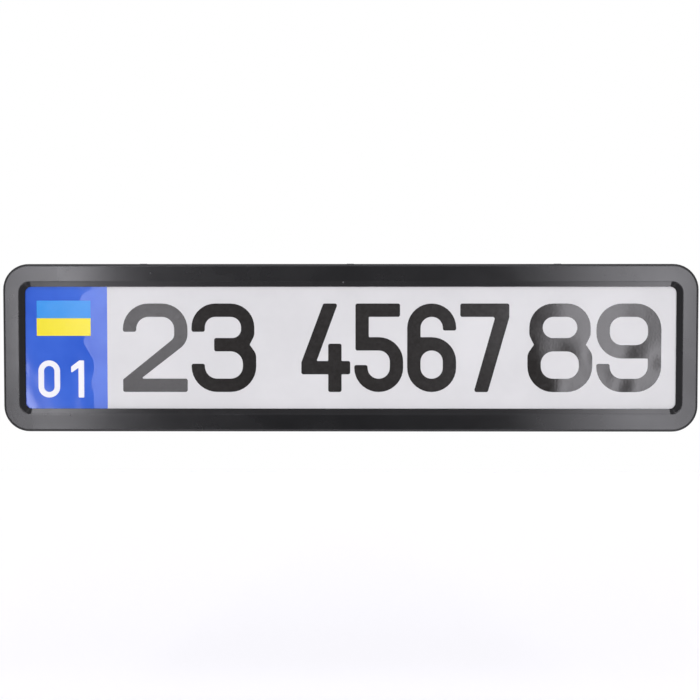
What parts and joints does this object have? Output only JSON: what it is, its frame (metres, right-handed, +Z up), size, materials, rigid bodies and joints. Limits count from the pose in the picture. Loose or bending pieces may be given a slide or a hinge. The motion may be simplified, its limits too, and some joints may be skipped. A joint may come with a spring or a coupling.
{
  "type": "number plate holder",
  "caption": "Snap-together number plate holder: black pressed steel frame over a ribbed base, clamping a white plate with a blue band and plain numerals.",
  "frame": {"origin": "centre of the back mounting face, where the holder meets the car", "axes": "+X along the plate's width, to the right as seen from the front; +Z up; the front faces -Y, so +Y points into the car"},
  "size_m": [0.535, 0.0126, 0.13],
  "materials": {
    "frame_coat": "satin black powder coat on pressed steel",
    "base_plastic": "fine grained black moulded plastic",
    "plate_metal": "mill finished sheet",
    "white_film": "smooth reflective film",
    "blue_film": "glossy blue film",
    "light_blue_print": "glossy print",
    "yellow_print": "glossy print",
    "white_print": "glossy print",
    "black_print": "glossy black foil"
  },
  "bodies": {
    "root": {"front_frame": "frame_coat", "back_base": "base_plastic", "number_plate": "plate_metal", "white_film": "white_film", "blue_band": "blue_film", "band_stripe_upper": "light_blue_print", "band_stripe_lower": "yellow_print", "numerals": "black_print", "band_numerals": "white_print"}
  },
  "joints": []
}
